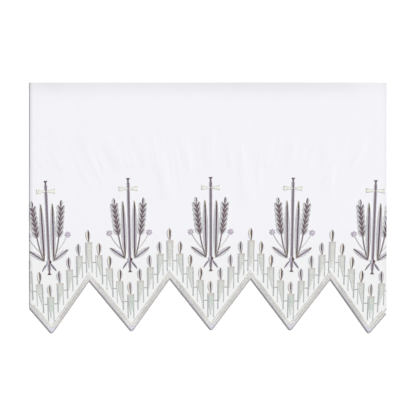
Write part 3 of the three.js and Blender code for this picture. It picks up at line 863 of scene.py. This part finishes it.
def fit_cloth(settings):
    """The ground cloth: a fine grid moved to the hem, the folds and the curled top, and thickened."""
    count = round((RIGHT - LEFT) / HALF_REPEAT * PARTS_OF_SLOPE)
    corners = HEM[(HEM[:, 0] > LEFT) & (HEM[:, 0] < RIGHT), 0]
    columns = np.linspace(LEFT, RIGHT, count + 1)
    for place in np.add.outer(corners, (-POINT_ROUNDING / 2, 0, POINT_ROUNDING / 2)).ravel():
        columns[np.abs(columns - place).argmin()] = place
    deselect_all()
    bpy.ops.mesh.primitive_grid_add(x_subdivisions=count, y_subdivisions=SHEET_ROWS, size=1)
    cloth = bpy.context.object
    cloth.name = "linen_ground"
    places = np.empty(len(cloth.data.vertices) * 3)
    cloth.data.vertices.foreach_get("co", places)
    places = places.reshape(-1, 3)
    x = columns[np.round((places[:, 0] + 0.5) * count).astype(int)]
    hem = hem_line(x) + HEM_SETBACK * STEEPNESS
    y = mixed(hem, TOP_Y, places[:, 1] + 0.5)
    z = lift(x, y, settings)
    cloth.data.vertices.foreach_set("co", (np.column_stack([x, y, z]) * MM).ravel())
    bpy.ops.object.modifier_add(type="SOLIDIFY")
    cloth.modifiers["Solidify"].thickness = CLOTH_TOP * MM
    cloth.modifiers["Solidify"].offset = 1
    bpy.ops.object.modifier_apply(modifier="Solidify")
    bpy.ops.object.shade_smooth_by_angle(angle=math.radians(50))
    return cloth


def add_node(tree, kind, inputs=(), **settings):
    """A shader node with its settings, and with values or other nodes' outputs on its inputs."""
    node = tree.nodes.new(kind)
    for name, value in settings.items():
        setattr(node, name, value)
    for name, value in dict(inputs).items():
        if isinstance(value, bpy.types.NodeSocket):
            tree.links.new(value, node.inputs[name])
        else:
            node.inputs[name].default_value = value
    return node


def calculated(tree, operation, *values):
    """The result of a math node on values or on other nodes' outputs."""
    return add_node(tree, "ShaderNodeMath", enumerate(values), operation=operation).outputs[0]


def scaled(tree, value, gain, shift):
    """A value times a gain, plus a shift."""
    return calculated(tree, "MULTIPLY_ADD", value, gain, shift)


def new_relief_group(name, sizes):
    """An empty shader node group that turns a place into a shade and a normal, with its named sizes."""
    group = bpy.data.node_groups.new(name, "ShaderNodeTree")
    group.interface.new_socket("Place", in_out="INPUT", socket_type="NodeSocketVector")
    for label, value in sizes.items():
        socket = group.interface.new_socket(label, in_out="INPUT", socket_type="NodeSocketFloat")
        socket.default_value = value
    group.interface.new_socket("Shade", in_out="OUTPUT", socket_type="NodeSocketFloat")
    group.interface.new_socket("Normal", in_out="OUTPUT", socket_type="NodeSocketVector")
    entry = group.nodes.new("NodeGroupInput")
    parts = add_node(group, "ShaderNodeSeparateXYZ", {0: entry.outputs["Place"]})
    return group, entry.outputs, parts.outputs


def close_relief_group(group, entry, height, strength, shade):
    """Gives a relief group its outputs: a shade, and the normal of a bump of the given height."""
    inputs = {"Height": height, "Distance": entry["Depth"], "Strength": strength}
    bump = add_node(group, "ShaderNodeBump", inputs)
    add_node(group, "NodeGroupOutput", {"Shade": shade, "Normal": bump.outputs["Normal"]})


def make_thread_twist(name):
    """The plies of a twisted thread, as slanting ridges along it and a little shade between them."""
    group, entry, place = new_relief_group(name, {"Ply Length": 0.7, "Depth": 0.00004})
    turns = calculated(group, "DIVIDE", place["X"], entry["Ply Length"])
    slanted = scaled(group, place["Y"], 0.35, turns)
    wave = calculated(group, "SINE", calculated(group, "MULTIPLY", slanted, 2 * math.pi))
    ridge = scaled(group, wave, 0.5, 0.5)
    close_relief_group(group, entry, ridge, 0.6, scaled(group, ridge, 0.10, 0.92))
    return group


def make_plain_weave(name):
    """A plain weave: threads that pass over and under each other, with painted shade where they dip and a
    soft unevenness of tone.
    """
    group, entry, place = new_relief_group(name, {"Thread Pitch": 0.00048, "Depth": 0.00003})
    waves = []
    for axis in ("X", "Y"):
        turns = calculated(group, "DIVIDE", place[axis], entry["Thread Pitch"])
        waves.append(calculated(group, "SINE", calculated(group, "MULTIPLY", turns, math.pi)))
    weave = scaled(group, calculated(group, "MULTIPLY", *waves), 0.5, 0.5)
    cloud = add_node(group, "ShaderNodeTexNoise", {"Vector": entry["Place"], "Scale": 45, "Detail": 3})
    mottle = scaled(group, cloud.outputs["Fac"], 0.03, 0.985)
    # Painted shade in the weave's hollows, times the random mottle
    shade = calculated(group, "MULTIPLY", mottle, scaled(group, weave, 0.03, 0.985))
    close_relief_group(group, entry, weave, 0.5, shade)
    return group


def relief_node(tree, name, make_group, inputs):
    """A node of a relief group, which is made when it is first needed."""
    group = bpy.data.node_groups.get(name) or make_group(name)
    return add_node(tree, "ShaderNodeGroup", inputs, node_tree=group)


def shaded(tree, colour, shade):
    """A colour darkened by a shade, both from other nodes."""
    inputs = {"Factor": 1, "A": colour, "B": shade}
    return add_node(tree, "ShaderNodeMix", inputs, data_type="RGBA", blend_type="MULTIPLY").outputs["Result"]


def new_material(name, roughness, sheen):
    """A material with its Principled shader and nothing else set."""
    material = bpy.data.materials.new(name)
    material.use_nodes = True
    shader = material.node_tree.nodes["Principled BSDF"]
    shader.inputs["Roughness"].default_value = roughness
    shader.inputs["Sheen Weight"].default_value = sheen
    shader.inputs["Specular IOR Level"].default_value = 0.35
    return material, material.node_tree, shader


def linen_material(colours):
    """The white ground cloth: its weave, its whiter worked part and the painted shade towards its cut sides.
    """
    material, tree, shader = new_material("white_linen", 0.85, 0.0)
    place = add_node(tree, "ShaderNodeTexCoord").outputs["Object"]
    weave = relief_node(tree, "Plain weave", make_plain_weave, {"Place": place})
    parts = add_node(tree, "ShaderNodeSeparateXYZ", {0: place})
    low, high = ((POINTS_Y + up) * MM for up in WORKED_GROUND_TOP)
    inputs = {"Value": parts.outputs["Y"], "From Min": low, "From Max": high}
    height = add_node(tree, "ShaderNodeMapRange", inputs, interpolation_type="SMOOTHSTEP").outputs["Result"]
    inputs = {"Factor": height, "A": (*colours.worked_ground, 1), "B": (*colours.ground, 1)}
    tone = add_node(tree, "ShaderNodeMix", inputs, data_type="RGBA").outputs["Result"]
    tone = shaded(tree, tone, weave.outputs["Shade"])
    # Painted shade: the tone is darkened towards each cut side, as the light falls off there
    for axis, cut, inward, darkest in PAINTED_CUT_SIDE_SHADE:
        inputs = {"From Min": cut * MM, "From Max": (cut + inward) * MM, "To Min": darkest}
        near = add_node(tree, "ShaderNodeMapRange", {"Value": parts.outputs[axis], **inputs})
        tone = shaded(tree, tone, near.outputs["Result"])
    tree.links.new(tone, shader.inputs["Base Color"])
    tree.links.new(weave.outputs["Normal"], shader.inputs["Normal"])
    return material


def thread_material(name, ply_length):
    """Stitched thread, in the colour that each stitch has."""
    material, tree, shader = new_material(name, 0.5, 0.05)
    colour = add_node(tree, "ShaderNodeAttribute", attribute_name="thread_colour").outputs["Color"]
    place = add_node(tree, "ShaderNodeAttribute", attribute_name="thread_place").outputs["Vector"]
    twist = relief_node(tree, "Thread twist", make_thread_twist, {"Place": place, "Ply Length": ply_length})
    tree.links.new(shaded(tree, colour, twist.outputs["Shade"]), shader.inputs["Base Color"])
    tree.links.new(twist.outputs["Normal"], shader.inputs["Normal"])
    return material


def screen_colour(screen, gain):
    """The colour of a cloth or thread that looks like the given screen colour in the stage's light."""
    values = np.array(screen) / 255
    linear = np.where(values > 0.04045, ((values + 0.055) / 1.055) ** 2.4, values / 12.92)
    return tuple(float(value) for value in linear * gain)


def tint(name, description, screen, gain=THREAD_GAIN):
    """A colour that a user can change."""
    default = screen_colour(screen, gain)
    return bpy.props.FloatVectorProperty(
        name=name, description=description, subtype="COLOR", min=0, max=1, default=default
    )


def number(name, description, default, **limits):
    """A number from 0 up that a user can change."""
    return bpy.props.FloatProperty(name=name, description=description, default=default, min=0, **limits)


class AltarClothSizes(bpy.types.PropertyGroup):
    """How much the cloth lifts."""

    fold_share: number("Folds", "Their height as a share of the table's", 0.4, subtype="FACTOR")
    wrinkle_share: number("Wrinkles", "Their height as a share of the table's", 0.5, subtype="FACTOR")
    top_curl: number("Top curl", "How far the cut top edge lifts", 0.0018, max=0.003, unit="LENGTH")


class AltarClothColours(bpy.types.PropertyGroup):
    """The colours of the cloth and of its threads."""

    ground: tint("Ground", "The ground cloth above the embroidery", (243.3, 243.2, 248.6), CLOTH_GAIN)
    worked_ground: tint("Worked ground", "The cloth in the border", (240, 240.3, 241.3), CLOTH_GAIN)
    faded: tint("Faded", "The palest embroidery, close to the ground", (240, 241, 241))
    # One edge thread with painted light and shade: its tone differs by how each flank faces the key light
    edge_rising: tint("Edge, rising", "The edge on rising flanks", (207, 205, 204))
    edge_falling: tint("Edge, falling", "The edge on falling flanks", (212, 209, 212))
    edge_tip: tint("Edge, points", "The edge round the points of the hem", (205, 203, 215))
    edge_inner: tint("Edge, inner rib", "The lighter rib inside the seam", (219, 219, 215))
    edge_seam: tint("Edge, seam", "The long stitches between the two ribs", (210, 204, 200))
    candle: tint("Candle", "The upper part of a candle", (219.5, 222, 217.5))
    notch_candle: tint("Notch candle", "A candle over a notch of the hem", (221.5, 221.3, 217))
    point_candle: tint("Point candle", "A candle over a point of the hem", (212, 218, 213))
    candle_cap: tint("Candle cap", "The top of a candle", (214, 210, 206))
    dark_leg: tint("Dark leg", "The darker leg of a candle", (192, 194, 196))
    pale_leg: tint("Pale leg", "The paler leg of a candle", (214, 217, 216))
    link: tint("Link", "The bars between the candles", (188, 183, 183))
    wick: tint("Wick", "The wick of a candle", (165, 150, 150))
    flame_dark: tint("Flame, dark", "The core of a flame", (107, 86, 86))
    flame_pale: tint("Flame, pale", "The pale side of a flame", (242, 236, 223))
    flame_rim: tint("Flame, rim", "The rim of a flame", (228, 227, 231))
    flame_haze: tint("Flame, haze", "The faint far side of a flame", (217, 217, 222))
    flame_shade: tint("Flame, shade", "The far side of a flame right of a point", (204, 203, 208))
    brown: tint("Brown", "The cores of the ornaments", (104, 78, 74))
    lilac: tint("Lilac", "The flanks of the ornaments", (201, 198, 214))
    sage: tint("Sage", "The palest parts of the ornaments", (226, 227, 220))
    outline: tint("Outline", "The outlines of the ornaments", (212, 211, 207))
    stem: tint("Stem", "The stems of the crosses and of the wheat", (141, 127, 131))
    cap: tint("Cap", "The caps and feet of the stems", (102, 80, 84))
    rosette: tint("Rosette", "The rosettes", (190, 180, 196))


class AltarClothStage(bpy.types.PropertyGroup):
    """The light and the camera."""

    sun_strength: number("Sun", "The strength of the key light", 3.83)
    sun_elevation: number(
        "Sun elevation", "The key light's height above the surface", math.radians(38), subtype="ANGLE"
    )
    sun_azimuth: number(
        "Sun azimuth",
        "The key light's direction, from the right of the cloth towards its top",
        math.radians(22),
        subtype="ANGLE",
    )
    sky_strength: number("Sky", "The strength of the light from all round", 0.36)
    camera_height: number("Camera height", "From the surface up to the camera", 3.0, unit="LENGTH")
    seen_width: number("Seen width", "How wide the picture is on the surface", 0.5646, unit="LENGTH")


def finish_piece(piece, nodes):
    """Makes a piece ride on the part's body, and hides the part's nodes that it stands in for."""
    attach(piece, "root")
    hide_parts(*nodes)


def nodes_named(start):
    """The part's nodes whose names begin with a word."""
    found = [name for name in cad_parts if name.startswith(start)]
    if not found:
        raise RuntimeError(f"the part has no node named {start}")
    return found


class ALTARCLOTH_OT_ground(bpy.types.Operator):
    """Makes the white ground cloth with its folds and wrinkles"""

    bl_idname = "altar_cloth.ground"
    bl_label = "Ground cloth"

    def execute(self, context):
        cloth = fit_cloth(context.scene.altar_sizes)
        cloth.data.materials.append(linen_material(context.scene.altar_colours))
        finish_piece(cloth, ["ground_cloth"])
        return {"FINISHED"}


class ALTARCLOTH_OT_edge(bpy.types.Operator):
    """Makes the satin-stitched edge along the zigzag hem"""

    bl_idname = "altar_cloth.edge"
    bl_label = "Stitched edge"

    def execute(self, context):
        colours = context.scene.altar_colours
        threads = Threads(seed=11)
        add_outer_rib(threads, colours)
        add_inner_rib(threads, colours)
        piece = threads.join("satin_edge", thread_material("edge_thread", 0.9))
        finish_piece(piece, ["stitched_edge"])
        return {"FINISHED"}


class ALTARCLOTH_OT_candles(bpy.types.Operator):
    """Makes the row of candles that steps up and down along the hem"""

    bl_idname = "altar_cloth.candles"
    bl_label = "Candles"

    def execute(self, context):
        threads = Threads(seed=23)
        motifs = {kind: candle_motif(kind, context.scene.altar_colours) for kind in CANDLE_KINDS}
        reach = math.ceil(RIGHT / CANDLE_PITCH) + 1
        for place in range(-reach, reach + 1):
            across = place * CANDLE_PITCH
            steps = place - CANDLES_IN_REPEAT * math.floor(across / REPEAT + 0.5)
            kind = kind_of(steps)
            top = LOWEST_CANDLE_TOP + CANDLE_RISE * abs(steps)
            threads.motif(motifs[kind], across + CANDLE_KINDS[kind]["shift"], top)
        piece = threads.join("candle_stitches", thread_material("candle_thread", 0.8))
        finish_piece(piece, nodes_named("candle"))
        return {"FINISHED"}


class ALTARCLOTH_OT_ornaments(bpy.types.Operator):
    """Makes the crosses over the hem's points and the wheat beside them"""

    bl_idname = "altar_cloth.ornaments"
    bl_label = "Ornaments"

    def execute(self, context):
        colours = context.scene.altar_colours
        material = thread_material("figure_thread", 0.8)
        motifs = (
            ("cross", cross_motif(colours), 31),
            ("wheat_right", wheat_motif(1, colours), 37),
            ("wheat_left", wheat_motif(-1, colours), 41),
        )
        for name, motif, seed in motifs:
            threads = Threads(seed)
            for repeat in range(-REPEATS_EACH_SIDE, REPEATS_EACH_SIDE + 1):
                threads.motif(motif, repeat * REPEAT, KNOT_UP)
            piece = threads.join(f"{name}_stitches", material)
            finish_piece(piece, nodes_named(name))
        return {"FINISHED"}


class ALTARCLOTH_OT_stage(bpy.types.Operator):
    """Makes the floor, the light and the camera"""

    bl_idname = "altar_cloth.stage"
    bl_label = "Stage"

    def execute(self, context):
        stage = context.scene.altar_stage
        add_floor()
        add_sun(stage)
        add_sky(context.scene, stage)
        add_camera(context.scene, stage)
        return {"FINISHED"}


def add_floor():
    """A plain pale floor just under the cloth."""
    deselect_all()
    bpy.ops.mesh.primitive_plane_add(size=4, location=(0, 0, -0.0001))
    floor = bpy.context.object
    floor.name = "floor"
    material, _, shader = new_material("pale_floor", 0.9, 0.0)
    shader.inputs["Base Color"].default_value = (0.95, 0.95, 0.95, 1)
    shader.inputs["Specular IOR Level"].default_value = 0.1
    floor.data.materials.append(material)


def add_sun(stage):
    """The key light, from the right and a little from the top."""
    tilt = math.pi / 2 - stage.sun_elevation
    bpy.ops.object.light_add(type="SUN", location=(1, 0.4, 1), rotation=(0, tilt, stage.sun_azimuth))
    sun = bpy.context.object
    sun.name = "key_light"
    sun.data.energy = stage.sun_strength
    sun.data.angle = math.radians(4)
    sun.data.color = (1.0, 0.985, 0.965)


def add_sky(scene, stage):
    """An even, slightly cool light from all round."""
    world = bpy.data.worlds.new("even_sky")
    world.use_nodes = True
    background = world.node_tree.nodes["Background"]
    background.inputs["Color"].default_value = (0.95, 0.98, 1.0, 1)
    background.inputs["Strength"].default_value = stage.sky_strength
    scene.world = world
    scene.view_settings.view_transform = "Standard"


def add_camera(scene, stage):
    """A long lens straight above the cloth, with its top edge away from the viewer."""
    bpy.ops.object.camera_add(location=(0.00027, -0.00053, stage.camera_height), rotation=(0, 0, 0))
    camera = bpy.context.object
    camera.name = "camera"
    camera.data.sensor_width = 36
    camera.data.lens = 36 * stage.camera_height / stage.seen_width
    scene.camera = camera


class ALTARCLOTH_PT_panel(bpy.types.Panel):
    """The steps that make the cloth, and what can be changed"""

    bl_idname = "ALTARCLOTH_PT_panel"
    bl_label = "Altar Cloth"
    bl_space_type = "VIEW_3D"
    bl_region_type = "UI"
    bl_category = "Altar Cloth"

    def draw(self, context):
        """Lists the settings and the operators."""
        for name, group in SETTINGS.items():
            box = self.layout.box()
            for setting in group.__annotations__:
                box.prop(getattr(context.scene, name), setting)
        for operator in OPERATORS:
            self.layout.operator(operator.bl_idname)


SETTINGS = {
    "altar_sizes": AltarClothSizes,
    "altar_colours": AltarClothColours,
    "altar_stage": AltarClothStage,
}
OPERATORS = (
    ALTARCLOTH_OT_ground,
    ALTARCLOTH_OT_edge,
    ALTARCLOTH_OT_candles,
    ALTARCLOTH_OT_ornaments,
    ALTARCLOTH_OT_stage,
)


def register():
    """Registers the settings, the operators and the panel."""
    for made in (*SETTINGS.values(), *OPERATORS, ALTARCLOTH_PT_panel):
        bpy.utils.register_class(made)
    for name, group in SETTINGS.items():
        setattr(bpy.types.Scene, name, bpy.props.PointerProperty(type=group))


def unregister():
    """Takes them away again."""
    for name in SETTINGS:
        delattr(bpy.types.Scene, name)
    for made in (ALTARCLOTH_PT_panel, *reversed(OPERATORS), *SETTINGS.values()):
        bpy.utils.unregister_class(made)


def main():
    """Makes every piece in order."""
    register()
    bpy.ops.altar_cloth.ground()
    bpy.ops.altar_cloth.edge()
    bpy.ops.altar_cloth.candles()
    bpy.ops.altar_cloth.ornaments()
    bpy.ops.altar_cloth.stage()


if __name__ == "__main__":
    main()
